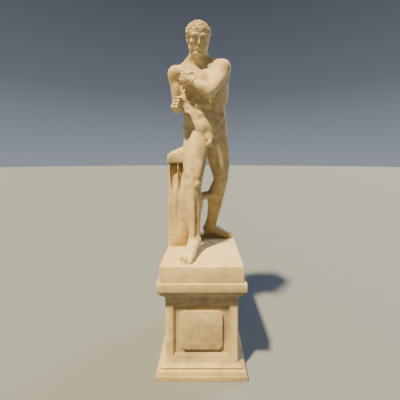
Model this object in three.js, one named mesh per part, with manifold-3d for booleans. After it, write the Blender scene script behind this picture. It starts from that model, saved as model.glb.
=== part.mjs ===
// A life-size stone statue of an athlete in a guard stance, on a moulded stone pedestal.
// Millimetres, +Z up, +X to the viewer's right, and the figure looks along -Y.
// The origin is the middle of the pedestal's underside.
import * as THREE from "three";
import { mergeVertices } from "three/addons/utils/BufferGeometryUtils.js";
import Module from "manifold-3d";

const V = (x, y, z) => new THREE.Vector3(x, y, z);
const UP = V(0, 0, 1);
const BOTH_SIDES = [-1, 1];
const degrees = THREE.MathUtils.degToRad;
const clamp01 = (t) => Math.min(1, Math.max(0, t));

// Pedestal: half width, half depth and levels of its blocks
const JOINT_GAP = 0.3;
const BASE = { x: 303.5, y: 392.5, top: 64 };
const FOOT_MOULDING = { run: 30, edge: 2.5, rise: 6 };
const DIE = { x: 248.5, y: 337.5, top: 525, corner: 8 };
const CAP = { x: 302, y: 390, top: 633, fascia: 50, cove: 35, coveInset: 25, tierInset: 21.5 };
const PANEL = { margin: 56, low: 126, high: 464, step: 9, depth: 4.5 };
const FIELD = { side: 50, end: 39, clip: 22, below: 1.5 };

// Statue: slab, and the meshes' fineness
const SLAB = { x: 283, y: 367.5, top: 740 };
const FOOT_SINK = 5;
const STUMP_SINK = 60;
const GRID_STEP = 6.5;
const FIGURE_TRIANGLES = 8000;

// Pose: the joints of the standing figure
const PELVIS = { z: 1700, x: 30, y: 58, turn: degrees(13) };
const CHEST = { z: 2060, x: 6, y: 42, turn: degrees(-16) };
const HEAD = V(-34, -48, 2430);
const RIGHT_LIMBS = {
  side: 1,
  hip: V(-52, 38, 1672), knee: V(-68, -88, 1272), ankle: V(-62, -90, 832), toe: V(-120, -322, SLAB.top),
  kneeFacing: V(-0.3, -1, 0), shinFacing: V(-0.42, -1, 0),
  shoulder: V(-226, 82, 2196), elbow: V(-220, 148, 1912), wrist: V(-188, -80, 1886), fist: V(-180, -150, 1880),
  backOfHand: V(-1, 0, 0.25), handSize: 1.15,
};
const LEFT_LIMBS = {
  side: -1,
  hip: V(122, 78, 1676), knee: V(170, 192, 1286), ankle: V(80, 284, 850), toe: V(274, 254, SLAB.top),
  kneeFacing: V(0.75, -0.65, 0), shinFacing: V(1, -0.25, 0),
  shoulder: V(168, -32, 2196), elbow: V(58, -214, 1948), wrist: V(-72, -116, 2070), fist: V(-126, -84, 2108),
  backOfHand: V(-0.2, -1, -0.3), handSize: 1,
};

// Tree stump behind the right leg, and the strut between the calves
const STUMP = { x: -172, y: 95, halfX: 112, halfY: 95, flutesTop: 1425, headTop: 1620, proud: 6 };
const STUMP_CUT = { at: V(-289, 0, 1490), normal: V(-0.42, -0.2, 1) };
const STRUT = { from: V(-50, 0, 1141), to: V(120, 215, 1150), radius: 35 };

const STONE = { color: 0xd9c49a, roughness: 0.75, metalness: 0 };

// A form is a distance function with its reach. Over its blend's width it melts into the forms before it.
function spindle(a, b, radii, blend) {
  const [start, middle, end] = radii.length === 3 ? radii : [radii[0], (radii[0] + radii[1]) / 2, radii[1]];
  const linear = 4 * middle - 3 * start - end;
  const square = 2 * start + 2 * end - 4 * middle;
  const { x: ax, y: ay, z: az } = a;
  const { x: bx, y: by, z: bz } = b.clone().sub(a);
  const scale = 1 / (bx * bx + by * by + bz * bz);
  const reach = Math.max(start, middle, end);
  function distance(x, y, z) {
    const px = x - ax;
    const py = y - ay;
    const pz = z - az;
    const t = clamp01((px * bx + py * by + pz * bz) * scale);
    return Math.hypot(px - t * bx, py - t * by, pz - t * bz) - start - t * (linear + t * square);
  }
  return { distance, blend, low: a.clone().min(b).subScalar(reach), high: a.clone().max(b).addScalar(reach) };
}

const WORLD_AXES = [V(1, 0, 0), V(0, 1, 0), V(0, 0, 1)];

function lump(centre, radii, blend, axes = WORLD_AXES) {
  const [u, v, w] = axes;
  const [ru, rv, rw] = radii;
  function distance(x, y, z) {
    const px = x - centre.x;
    const py = y - centre.y;
    const pz = z - centre.z;
    const a = (px * u.x + py * u.y + pz * u.z) / ru;
    const b = (px * v.x + py * v.y + pz * v.z) / rv;
    const c = (px * w.x + py * w.y + pz * w.z) / rw;
    const size = Math.sqrt(a * a + b * b + c * c) + 1e-9;
    const slope = Math.sqrt((a * a) / (ru * ru) + (b * b) / (rv * rv) + (c * c) / (rw * rw)) + 1e-9;
    return size * (size - 1) / slope;
  }
  const reach = axes === WORLD_AXES ? V(...radii) : V(1, 1, 1).multiplyScalar(Math.max(...radii));
  return { distance, blend, low: centre.clone().sub(reach), high: centre.clone().add(reach) };
}

function block(centre, half, round, blend, axes = WORLD_AXES) {
  const [u, v, w] = axes;
  const [hu, hv, hw] = half.map((h) => h - round);
  function distance(x, y, z) {
    const px = x - centre.x;
    const py = y - centre.y;
    const pz = z - centre.z;
    const a = Math.abs(px * u.x + py * u.y + pz * u.z) - hu;
    const b = Math.abs(px * v.x + py * v.y + pz * v.z) - hv;
    const c = Math.abs(px * w.x + py * w.y + pz * w.z) - hw;
    return Math.hypot(Math.max(a, 0), Math.max(b, 0), Math.max(c, 0)) + Math.min(Math.max(a, b, c), 0) - round;
  }
  const reach = V(1, 1, 1).multiplyScalar(Math.hypot(...half));
  return { distance, blend, low: centre.clone().sub(reach), high: centre.clone().add(reach) };
}

function ring(centre, axis, radius, thick, blend) {
  const { x: nx, y: ny, z: nz } = axis;
  function distance(x, y, z) {
    const px = x - centre.x;
    const py = y - centre.y;
    const pz = z - centre.z;
    const along = px * nx + py * ny + pz * nz;
    const out = Math.hypot(px - along * nx, py - along * ny, pz - along * nz) - radius;
    return Math.hypot(out, along) - thick;
  }
  const reach = radius + thick;
  return { distance, blend, low: centre.clone().subScalar(reach), high: centre.clone().addScalar(reach) };
}

function carve(form) {
  return { ...form, carves: true };
}

function carveAbove(point, normal, blend) {
  const n = normal.clone().normalize();
  const level = point.dot(n);
  const distance = (x, y, z) => level - (x * n.x + y * n.y + z * n.z);
  return carve({ distance, blend, low: V(-1e4, -1e4, -1e4), high: V(1e4, 1e4, 1e4) });
}

// A group's forms melt into each other first, and the group then melts into the groups before it over its join
function group(join, forms) {
  return { join, forms };
}

// Places on a limb: t from joint to joint, f towards its front, s away from the body's middle
function limb(from, to, facing, side) {
  const along = to.clone().sub(from);
  const axis = along.clone().normalize();
  const front = facing.clone().addScaledVector(axis, -facing.dot(axis)).normalize();
  const out = axis.clone().cross(front).multiplyScalar(side);
  const at = (t, f, s) => from.clone().addScaledVector(along, t).addScaledVector(front, f)
    .addScaledVector(out, s);
  return { at, axis, front, out };
}

// Each muscle: [t, f, s] where it starts and ends, its radii, and its blend
const THIGH = [
  [[0, 0, 0], [1, 0, 0], [92, 86, 56], 20],
  [[0.02, 38, -4], [0.86, 32, 0], [46, 60, 34], 26],
  [[0.1, 8, 46], [0.9, 14, 30], [46, 58, 32], 24],
  [[0.45, 20, -34], [0.88, 26, -40], [38, 50, 32], 16],
  [[0, -8, -46], [0.68, -14, -32], [50, 62, 34], 28],
  [[0.1, -44, 14], [0.97, -24, 28], [48, 54, 22], 26],
  [[0.1, -44, -18], [0.99, -22, -28], [46, 52, 22], 26],
];
const SHIN = [
  [[0, -8, 0], [0.95, -6, 0], [56, 52, 42], 22],
  [[0.18, -34, -6], [0.64, -38, -6], [30, 50, 26], 16],
  [[0.06, -32, 16], [0.48, -32, 22], [28, 50, 26], 16],
  [[0.3, -28, 0], [0.86, -30, 0], [50, 50, 28], 22],
  [[0.8, -38, 0], [1.04, -52, 0], [22, 17, 22], 12],
  [[0.04, 30, -6], [0.94, 24, -6], [30, 32, 26], 14],
  [[0.08, 14, 24], [0.8, 12, 12], [28, 38, 24], 16],
];
const UPPER_ARM = [
  [[0, 0, 0], [1, 0, 0], [52, 50, 40], 16],
  [[0.2, 22, -2], [0.84, 24, -2], [32, 46, 26], 12],
  [[0.1, -22, 6], [0.8, -22, 4], [38, 44, 26], 14],
  [[0, 8, 16], [0.44, 2, 18], [52, 46, 20], 18],
];
const FOREARM = [
  [[0, 0, 0], [1, 0, 0], [42, 42, 31], 14],
  [[0.02, 8, 16], [0.62, 4, 12], [36, 44, 22], 12],
  [[0.05, -4, -18], [0.6, -2, -10], [34, 40, 22], 12],
];

function muscles(place, rows) {
  return rows.map(([start, end, radii, blend]) => spindle(place.at(...start), place.at(...end), radii, blend));
}

// Toes: distance out from the foot's middle, radius, and how far each falls short of the foot's length
const TOES = [
  { out: -35, radius: 19, short: -6 },
  { out: -10, radius: 13.5, short: -2 },
  { out: 9, radius: 13, short: 6 },
  { out: 27, radius: 12.5, short: 17 },
  { out: 43, radius: 12, short: 30 },
];

function foot({ ankle, toe, side }) {
  const reach = toe.clone().sub(ankle).setZ(0);
  const length = reach.length();
  const forward = reach.normalize();
  const out = forward.clone().cross(UP).multiplyScalar(side);
  const heel = ankle.clone().setZ(SLAB.top - FOOT_SINK);
  const at = (l, s, h) => heel.clone().addScaledVector(forward, l).addScaledVector(out, s)
    .addScaledVector(UP, h);
  const axes = [forward, out, UP];
  const ball = length - 52;
  const forms = [
    spindle(at(0, 0, 110), at(4, 0, 62), [40, 44], 14),
    lump(at(-36, -2, 34), [38, 36, 38], 14, axes),
    lump(at(4, -42, 98), [19, 14, 22], 14, axes),
    lump(at(-6, 38, 84), [17, 13, 22], 14, axes),
    spindle(at(-24, 0, 0), at(ball, 2, 0), [30, 42], 16),
    spindle(at(-10, 8, 28), at(ball * 0.9, 32, 16), [32, 28], 16),
    spindle(at(12, -10, 74), at(ball, -26, 28), [42, 27], 18),
    spindle(at(12, 8, 66), at(ball, 18, 24), [38, 24], 18),
    lump(at(ball, -4, 20), [30, 55, 24], 14, axes),
  ];
  for (const { out: s, radius: r, short } of TOES) {
    const tip = length - short - r;
    const knuckle = at((ball + tip + r) / 2, s, r + 11);
    forms.push(spindle(at(ball - 8, s, 24), knuckle, [r, r], 6), spindle(knuckle, at(tip, s, r), [r, r], 4));
    forms.push(spindle(at(ball, s, 4), at(tip, s, 4), [r, r * 0.9], 4));
  }
  return forms;
}

function leg(limbs) {
  const { hip, knee, ankle, kneeFacing, shinFacing, side } = limbs;
  const thigh = limb(hip, knee, kneeFacing, side);
  const shin = limb(knee, ankle, shinFacing, side);
  const axes = [thigh.out, thigh.front, thigh.axis];
  const kneeForms = [
    lump(thigh.at(1, 6, 0), [62, 50, 54], 18, axes),
    lump(thigh.at(0.99, 48, 0), [27, 15, 31], 8, axes),
    lump(thigh.at(1.02, 6, -46), [20, 30, 26], 12, axes),
    lump(thigh.at(1.01, 6, 40), [20, 28, 26], 14, axes),
    lump(shin.at(0.14, 44, -4), [18, 14, 24], 14, axes),
  ];
  return group(12, [...muscles(thigh, THIGH), ...muscles(shin, SHIN), ...kneeForms, ...foot(limbs)]);
}

// Places on the trunk, which twists and leans from pelvis to chest: level z, l to the figure's left, f forward
function trunkAxes(z) {
  const rise = clamp01((z - PELVIS.z) / (CHEST.z - PELVIS.z));
  const turn = THREE.MathUtils.lerp(PELVIS.turn, CHEST.turn, rise * rise * (3 - 2 * rise));
  return [V(Math.cos(turn), Math.sin(turn), 0), V(Math.sin(turn), -Math.cos(turn), 0), UP];
}

function trunk(z, l, f) {
  const rise = (z - PELVIS.z) / (CHEST.z - PELVIS.z);
  const [left, front] = trunkAxes(z);
  const { lerp } = THREE.MathUtils;
  const middle = V(lerp(PELVIS.x, CHEST.x, rise), lerp(PELVIS.y, CHEST.y, rise), z);
  return middle.addScaledVector(left, l).addScaledVector(front, f);
}

function mass(z, l, f, radii, blend) {
  return lump(trunk(z, l, f), radii, blend, trunkAxes(z));
}

function torso() {
  const forms = [
    mass(1700, 0, -4, [180, 110, 122], 20),
    mass(1870, 0, 0, [172, 106, 160], 50),
    mass(2050, 0, -4, [184, 122, 184], 50),
    mass(2176, 0, -14, [200, 98, 98], 40),
    mass(1745, 0, 46, [124, 68, 100], 40),
    mass(1636, 0, 84, [46, 34, 42], 20),
    mass(1548, 6, 0, [36, 56, 84], 30),
  ];
  for (const s of BOTH_SIDES) {
    const neckSide = HEAD.clone().add(V(s * 34, 54, -128 - s * 4));
    forms.push(
      // Seat, hips and flanks
      mass(1632, s * 84, -78, [92, 76, 98], 24),
      mass(1722, s * 130, -12, [60, 78, 88], 26),
      mass(1806, s * 128, 14, [48, 74, 68], 28),
      // Ribs, chest and back
      mass(1960, s * 124, 30, [48, 60, 112], 30),
      mass(2118, s * 86, 80, [92, 44, 66], 14),
      mass(2200, s * 96, 40, [92, 48, 52], 28),
      mass(2040, s * 156, -40, [54, 70, 150], 28),
      mass(2120, s * 88, -84, [88, 46, 106], 28),
      mass(2170, s * 168, -44, [62, 46, 72], 34),
      spindle(trunk(1700, s * 36, -88), trunk(2010, s * 38, -84), [32, 28, 30], 20),
      // Slope of the shoulders and collar bones
      spindle(trunk(2228 - s * 10, s * 168, -4), neckSide, [36, 40, 36], 40),
      spindle(trunk(2214, s * 120, -58), neckSide, [36, 38, 34], 40),
      spindle(trunk(2246, s * 26, 70), trunk(2262, s * 176, 8), [12, 12], 12),
      // Rib arch and belly
      mass(1972, s * 78, 68, [70, 40, 56], 22),
      mass(1970, s * 37, 94, [38, 17, 42], 20),
      mass(1896, s * 38, 94, [40, 17, 42], 20),
      mass(1822, s * 38, 96, [40, 17, 44], 20),
      mass(1742, s * 32, 99, [40, 18, 64], 20),
    );
  }
  forms.push(
    carve(spindle(trunk(1740, 0, -132), trunk(2180, 0, -142), [10, 11], 22)),
    carve(spindle(trunk(2080, 0, 140), trunk(2200, 0, 120), [7, 8], 12)),
    mass(1600, 2, 112, [17, 20, 30], 6),
    mass(1582, -12, 98, [17, 18, 24], 6),
    mass(1580, 14, 98, [17, 18, 24], 6),
  );
  return group(30, forms);
}

// A closed fist: i towards the knuckles, j out of the back of the hand, k towards the thumb
function fist(centre, axes, size) {
  const [h, b, w] = axes;
  const at = (i, j, k) => centre.clone().addScaledVector(h, i * size).addScaledVector(b, j * size)
    .addScaledVector(w, k * size);
  const bone = (start, end, radius, blend) => spindle(start, end, [radius * size, radius * size], blend);
  const forms = [block(at(-8, 8, 0), [36 * size, 26 * size, 44 * size], 18 * size, 8, axes)];
  for (let finger = 0; finger < 4; finger++) {
    const k = -32 + 21 * finger;
    forms.push(bone(at(18, 18, k), at(40, 2, k), 12.5, 5));
    forms.push(bone(at(40, 2, k), at(22, -26, k), 12.5, 3));
    forms.push(bone(at(22, -26, k), at(0, -22, k), 12.5, 3));
  }
  forms.push(bone(at(-30, 0, 44), at(6, -14, 50), 14, 8), bone(at(6, -14, 50), at(26, -34, 26), 12, 4));
  return forms;
}

function arm(limbs) {
  const { shoulder, elbow, wrist, fist: hand, side, handSize, backOfHand } = limbs;
  const upper = limb(shoulder, elbow, wrist.clone().sub(elbow), side);
  const fore = limb(elbow, wrist, shoulder.clone().sub(elbow), side);
  const h = hand.clone().sub(wrist).normalize();
  const back = backOfHand.clone().addScaledVector(h, -backOfHand.dot(h)).normalize();
  const thumb = h.clone().cross(back).multiplyScalar(-side);
  return [
    group(24, [lump(shoulder, [66, 66, 70], 20), ...muscles(upper, UPPER_ARM)]),
    group(14, [...muscles(fore, FOREARM), lump(elbow, [40, 40, 40], 10)]),
    group(8, [
      spindle(wrist, hand, [34 * handSize, 34 * handSize], 10),
      ...fist(hand, [h, back, thumb], handSize),
      ring(fore.at(0.86, 0, 0), fore.axis, 33, 8, 3),
      ring(fore.at(0.98, 0, 0), fore.axis, 33, 8, 3),
    ]),
  ];
}

const onHead = (x, y, z) => HEAD.clone().add(V(x, y, z));

function neck() {
  const forms = [spindle(trunk(2236, 0, -6), onHead(0, 34, -80), [82, 72, 66], 30)];
  for (const s of BOTH_SIDES) {
    forms.push(spindle(onHead(s * 62, 20, -48), trunk(2262, s * 18, 62), [18, 20, 14], 14));
  }
  return group(26, forms);
}

// A calm, regular face: eyes at half the head's height, the nose's foot and the brow a third of the face apart
function face() {
  const forms = [
    lump(onHead(0, 14, 34), [78, 98, 88], 10),
    lump(onHead(0, -30, -16), [61, 62, 76], 20),
    lump(onHead(0, -62, 48), [58, 36, 46], 20),
    lump(onHead(0, -82, 24), [50, 16, 12], 14),
    lump(onHead(0, -58, -66), [44, 40, 34], 20),
    lump(onHead(0, -82, -100), [24, 18, 18], 14),
  ];
  for (const s of BOTH_SIDES) {
    forms.push(
      spindle(onHead(s * 56, 6, -44), onHead(s * 16, -70, -96), [20, 20], 20),
      lump(onHead(s * 46, -58, -22), [24, 20, 20], 22),
      carve(lump(onHead(s * 31, -104, 4), [21, 15, 11], 10)),
      lump(onHead(s * 31, -82, 1), [18, 9, 9], 4),
      lump(onHead(s * 13, -104, -38), [8, 12, 8], 5),
      lump(onHead(s * 80, 8, -4), [9, 19, 31], 5),
    );
  }
  forms.push(
    spindle(onHead(0, -94, 18), onHead(0, -114, -32), [9, 13], 10),
    lump(onHead(0, -92, -64), [26, 12, 6], 6),
    lump(onHead(0, -90, -76), [22, 12, 7], 5),
  );
  return group(16, forms);
}

// Short curls in rows round the head, left off where the face, the temples and the ears are
const HAIR = { rows: 9, lowest: degrees(-34), highest: degrees(90), aroundBrow: 23, curl: 15 };

function hair() {
  const centre = onHead(0, 24, 44);
  const radii = V(94, 106, 90);
  const forms = [lump(centre, [90, 102, 88], 8), carve(lump(onHead(0, -118, -30), [84, 96, 94], 6))];
  for (let row = 0; row < HAIR.rows; row++) {
    const rise = THREE.MathUtils.lerp(HAIR.lowest, HAIR.highest, row / (HAIR.rows - 1));
    const count = Math.max(1, Math.round(HAIR.aroundBrow * Math.cos(rise)));
    for (let i = 0; i < count; i++) {
      const round = (i + (row % 2) / 2) / count * 2 * Math.PI;
      const fromFront = Math.min(round, 2 * Math.PI - round);
      if (rise < degrees(36) && fromFront < degrees(58)) continue;
      if (rise < degrees(4) && fromFront < degrees(108)) continue;
      const direction = V(Math.cos(rise) * Math.sin(round), -Math.cos(rise) * Math.cos(round), Math.sin(rise));
      const swell = 1 + 0.03 * Math.sin(i * 2.3 + row * 4.1);
      const curl = centre.clone().addScaledVector(direction.multiply(radii), swell);
      forms.push(lump(curl, [HAIR.curl, HAIR.curl, HAIR.curl], 4));
    }
  }
  return group(4, forms);
}

function stump() {
  const { x, y, halfX, halfY, flutesTop, headTop, proud } = STUMP;
  const front = y - halfY;
  const middle = (SLAB.top - STUMP_SINK + headTop) / 2;
  const headMiddle = (flutesTop + headTop) / 2;
  const hollow = (px, py, foot) => carve(spindle(V(px, py, foot), V(px, py, flutesTop), [18, 22], 8));
  const hollows = [-70, -20, 36, 80].flatMap((across, i) => [
    hollow(x - halfX - 10, y + across, 800 + 50 * i),
    hollow(x + across, y + halfY + 10, 860 - 40 * i),
  ]);
  return group(12, [
    block(V(x, y, middle), [halfX, halfY, headTop - middle], 40, 10),
    carve(spindle(V(x - 76, front - 22, 1140), V(x - 76, front - 14, flutesTop), [10, 34], 6)),
    carve(spindle(V(x - 8, front - 22, 1140), V(x - 8, front - 12, flutesTop), [8, 24], 6)),
    ...hollows,
    block(V(x, y, headMiddle), [halfX + proud, halfY + proud, headTop - headMiddle], 36, 4),
    carveAbove(STUMP_CUT.at, STUMP_CUT.normal, 4),
  ]);
}

function figure() {
  return [
    torso(), leg(RIGHT_LIMBS), leg(LEFT_LIMBS), neck(), face(), hair(),
    ...arm(RIGHT_LIMBS), ...arm(LEFT_LIMBS), stump(),
    group(14, [spindle(STRUT.from, STRUT.to, [STRUT.radius, STRUT.radius], 14)]),
  ];
}

// The smaller of two distances, rounded over where they are nearly alike
function melt(a, b, width) {
  const near = Math.max(width - Math.abs(a - b), 0) / width;
  return Math.min(a, b) - near * near * width / 4;
}

function distanceTo(groups, x, y, z) {
  let total = 1000;
  for (const { join, forms } of groups) {
    let own = 1000;
    for (const { distance, blend, carves } of forms) {
      const d = distance(x, y, z);
      own = carves ? -melt(-own, d, blend) : melt(own, d, blend);
    }
    total = melt(total, own, join);
  }
  return total;
}

function groupsNear(groups, low, high, margin) {
  const near = [];
  for (const { join, forms } of groups) {
    const close = forms.filter((form) => {
      const reach = margin + form.blend + join;
      return form.low.x - reach < high.x && form.high.x + reach > low.x
        && form.low.y - reach < high.y && form.high.y + reach > low.y
        && form.low.z - reach < high.z && form.high.z + reach > low.z;
    });
    if (close.some((form) => !form.carves)) near.push({ join, forms: close });
  }
  return near;
}

// Distances on a grid, worked out in cubes of cells. A cube far from the surface takes its middle's distance.
function sampleGrid(groups, low, high, step) {
  const size = high.clone().sub(low).divideScalar(step).ceil().addScalar(1).toArray();
  const index = (i, j, k) => (i * size[1] + j) * size[2] + k;
  const values = new Float32Array(size[0] * size[1] * size[2]);
  const span = 8;
  const radius = span * step * Math.sqrt(3) / 2;
  for (let i = 0; i < size[0]; i += span) {
    for (let j = 0; j < size[1]; j += span) {
      for (let k = 0; k < size[2]; k += span) {
        const start = V(i, j, k).multiplyScalar(step).add(low);
        const end = start.clone().addScalar(span * step);
        const middle = start.clone().lerp(end, 0.5);
        const guess = distanceTo(groupsNear(groups, start, end, radius + 20), ...middle);
        const far = Math.abs(guess) > radius * 1.7 + 10;
        const near = groupsNear(groups, start, end, 8);
        for (let a = i; a < Math.min(i + span, size[0]); a++) {
          for (let b = j; b < Math.min(j + span, size[1]); b++) {
            for (let c = k; c < Math.min(k + span, size[2]); c++) {
              values[index(a, b, c)] = far ? guess
                : distanceTo(near, low.x + a * step, low.y + b * step, low.z + c * step);
            }
          }
        }
      }
    }
  }
  return { values, size, index, low, step };
}

// Two skins that meet across one square of the grid would share an edge, so such a square is filled in
function fillPinches({ values, size, index, step }) {
  const squares = [[[0, 1, 0], [0, 0, 1]], [[0, 0, 1], [1, 0, 0]], [[1, 0, 0], [0, 1, 0]]];
  for (let found = 1; found > 0;) {
    found = 0;
    for (let i = 0; i < size[0] - 1; i++) {
      for (let j = 0; j < size[1] - 1; j++) {
        for (let k = 0; k < size[2] - 1; k++) {
          if (Math.abs(values[index(i, j, k)]) > 2 * step) continue;
          for (const [u, w] of squares) {
            const ends = [[0, 0], [1, 0], [1, 1], [0, 1]]
              .map(([a, b]) => index(i + a * u[0] + b * w[0], j + a * u[1] + b * w[1], k + a * u[2] + b * w[2]));
            const inside = ends.map((end) => values[end] < 0);
            if (inside[0] !== inside[2] || inside[1] !== inside[3] || inside[0] === inside[1]) continue;
            values[ends[inside[0] ? 1 : 0]] = -step / 8;
            found++;
          }
        }
      }
    }
  }
}

// Surface nets: one point in each cell that the surface crosses, and one quad for each grid edge that it crosses
function surfaceNets({ values, size, index, low, step }) {
  const corners = Array.from({ length: 8 }, (_, c) => [c >> 2 & 1, c >> 1 & 1, c & 1]);
  const edges = corners.flatMap((_, c) => [4, 2, 1].filter((bit) => !(c & bit)).map((bit) => [c, c | bit]));
  const pointOf = new Int32Array(values.length).fill(-1);
  const points = [];
  const faces = [];
  const value = new Float64Array(8);
  for (let i = 0; i < size[0] - 1; i++) {
    for (let j = 0; j < size[1] - 1; j++) {
      for (let k = 0; k < size[2] - 1; k++) {
        corners.forEach(([a, b, c], corner) => { value[corner] = values[index(i + a, j + b, k + c)]; });
        const crossed = edges.filter(([p, q]) => (value[p] < 0) !== (value[q] < 0));
        if (!crossed.length) continue;
        const sum = V(0, 0, 0);
        for (const [p, q] of crossed) {
          const share = value[p] / (value[p] - value[q]);
          sum.add(V(...corners[p]).lerp(V(...corners[q]), share));
        }
        pointOf[index(i, j, k)] = points.length;
        points.push(sum.divideScalar(crossed.length).add(V(i, j, k)).multiplyScalar(step).add(low));
      }
    }
  }
  const [alongX, alongY, alongZ] = [[1, 0, 0], [0, 1, 0], [0, 0, 1]];
  const turns = [[alongX, alongY, alongZ], [alongY, alongZ, alongX], [alongZ, alongX, alongY]];
  for (let i = 1; i < size[0] - 1; i++) {
    for (let j = 1; j < size[1] - 1; j++) {
      for (let k = 1; k < size[2] - 1; k++) {
        const inside = values[index(i, j, k)] < 0;
        for (const [d, u, w] of turns) {
          if (inside === values[index(i + d[0], j + d[1], k + d[2])] < 0) continue;
          const cell = (a, b) => index(i - a * u[0] - b * w[0], j - a * u[1] - b * w[1], k - a * u[2] - b * w[2]);
          const quad = [[1, 1], [0, 1], [0, 0], [1, 0]].map(([a, b]) => pointOf[cell(a, b)]);
          if (!inside) quad.reverse();
          faces.push([quad[0], quad[1], quad[2]], [quad[0], quad[2], quad[3]]);
        }
      }
    }
  }
  return { points, faces };
}

// Keeps the outer skin and drops the small hollows that closed between forms
function outerSkin({ points, faces }) {
  const parent = points.map((_, p) => p);
  const root = (p) => {
    while (parent[p] !== p) {
      parent[p] = parent[parent[p]];
      p = parent[p];
    }
    return p;
  };
  for (const [a, b, c] of faces) {
    parent[root(a)] = root(b);
    parent[root(b)] = root(c);
  }
  const sizes = new Map();
  for (const [a] of faces) sizes.set(root(a), (sizes.get(root(a)) || 0) + 1);
  const largest = [...sizes].reduce((best, entry) => (entry[1] > best[1] ? entry : best))[0];
  return { points, faces: faces.filter(([a]) => root(a) === largest) };
}

// Each point carries the sum of its planes' squared errors, as the ten numbers of a symmetric 4 x 4 matrix
const TERMS = 10;

function addPlane(errors, point, { x, y, z }, d, weight) {
  const plane = [x * x, x * y, x * z, x * d, y * y, y * z, y * d, z * z, z * d, d * d];
  plane.forEach((term, i) => { errors[point * TERMS + i] += term * weight; });
}

function errorAt(e, { x, y, z }) {
  return e[0] * x * x + e[4] * y * y + e[7] * z * z + 2 * (e[1] * x * y + e[2] * x * z + e[5] * y * z)
    + 2 * (e[3] * x + e[6] * y + e[8] * z) + e[9];
}

function bestPlace(e, a, b) {
  const places = [a, b, a.clone().lerp(b, 0.5)];
  const matrix = new THREE.Matrix3().set(e[0], e[1], e[2], e[1], e[4], e[5], e[2], e[5], e[7]);
  const spread = e[0] + e[4] + e[7];
  if (Math.abs(matrix.determinant()) > 1e-4 * spread ** 3) {
    const best = V(-e[3], -e[6], -e[8]).applyMatrix3(matrix.invert());
    if (best.distanceTo(places[2]) < 2 * a.distanceTo(b)) places.push(best);
  }
  const costs = places.map((place) => errorAt(e, place));
  const cost = Math.min(...costs);
  return { cost: Math.max(cost, 0), place: places[costs.indexOf(cost)] };
}

// A heap with the cheapest entry on top
class CheapestFirst {
  entries = [];

  push(entry) {
    const { entries } = this;
    let i = entries.push(entry) - 1;
    while (i > 0 && entries[(i - 1) >> 1].cost > entry.cost) {
      entries[i] = entries[(i - 1) >> 1];
      i = (i - 1) >> 1;
    }
    entries[i] = entry;
  }

  pop() {
    const { entries } = this;
    const top = entries[0];
    const last = entries.pop();
    if (!entries.length) return top;
    let i = 0;
    for (;;) {
      let child = 2 * i + 1;
      if (child >= entries.length) break;
      if (child + 1 < entries.length && entries[child + 1].cost < entries[child].cost) child++;
      if (entries[child].cost >= last.cost) break;
      entries[i] = entries[child];
      i = child;
    }
    entries[i] = last;
    return top;
  }
}

const normalOf = (a, b, c) => b.clone().sub(a).cross(c.clone().sub(a));

// Drops the edges that shape the surface least, until only so many triangles are left
function simplify({ points, faces }, wanted) {
  const errors = new Float64Array(points.length * TERMS);
  const facesAt = points.map(() => new Set());
  const versions = new Uint32Array(points.length);
  const queue = new CheapestFirst();
  faces.forEach((face, f) => {
    const normal = normalOf(...face.map((p) => points[p]));
    const area = normal.length();
    normal.normalize();
    for (const p of face) {
      facesAt[p].add(f);
      addPlane(errors, p, normal, -normal.dot(points[face[0]]), area);
    }
  });
  const neighbours = (p) => {
    const found = new Set();
    for (const f of facesAt[p]) faces[f].forEach((q) => found.add(q));
    found.delete(p);
    return found;
  };
  const queueEdge = (a, b) => {
    const e = new Float64Array(TERMS);
    for (let i = 0; i < TERMS; i++) e[i] = errors[a * TERMS + i] + errors[b * TERMS + i];
    const { cost, place } = bestPlace(e, points[a], points[b]);
    const slack = 1e-3 * points[a].distanceToSquared(points[b]);
    queue.push({ cost: cost + slack, place, a, b, version: versions[a] + versions[b], e });
  };
  const turnsOver = (p, other, place) => [...facesAt[p]].some((f) => {
    if (faces[f].includes(other)) return false;
    const before = faces[f].map((q) => points[q]);
    const after = faces[f].map((q) => (q === p ? place : points[q]));
    const [n, m] = [normalOf(...before), normalOf(...after)];
    return n.dot(m) < 0.3 * n.length() * m.length() || m.length() < 1;
  });
  for (let p = 0; p < points.length; p++) for (const q of neighbours(p)) if (p < q) queueEdge(p, q);
  let left = faces.length;
  while (left > wanted && queue.entries.length) {
    const { a, b, place, version, e } = queue.pop();
    if (version !== versions[a] + versions[b] || !facesAt[a].size || !facesAt[b].size) continue;
    const shared = [...neighbours(a)].filter((q) => neighbours(b).has(q));
    if (shared.length !== 2 || turnsOver(a, b, place) || turnsOver(b, a, place)) continue;
    for (const f of facesAt[b]) {
      if (faces[f].includes(a)) {
        for (const q of faces[f]) if (q !== b) facesAt[q].delete(f);
        left--;
      } else {
        faces[f] = faces[f].map((q) => (q === b ? a : q));
        facesAt[a].add(f);
      }
    }
    facesAt[b].clear();
    points[a] = place;
    errors.set(e, a * TERMS);
    versions[a]++;
    for (const q of neighbours(a)) queueEdge(a, q);
  }
  const kept = new Set(facesAt.flatMap((set) => [...set]));
  return { points, faces: [...kept].map((f) => faces[f]) };
}

function toGeometry({ points, faces }) {
  const geometry = new THREE.BufferGeometry();
  geometry.setAttribute("position", new THREE.Float32BufferAttribute(points.flatMap((p) => [p.x, p.y, p.z]), 3));
  geometry.setIndex(faces.flat());
  return geometry;
}

const wasm = await Module();
wasm.setup();

function toSolid(geometry) {
  geometry.deleteAttribute("normal");
  geometry.deleteAttribute("uv");
  const merged = mergeVertices(geometry);
  return new wasm.Manifold(new wasm.Mesh({
    numProp: 3,
    vertProperties: Float32Array.from(merged.attributes.position.array),
    triVerts: Uint32Array.from(merged.index.array),
  }));
}

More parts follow.
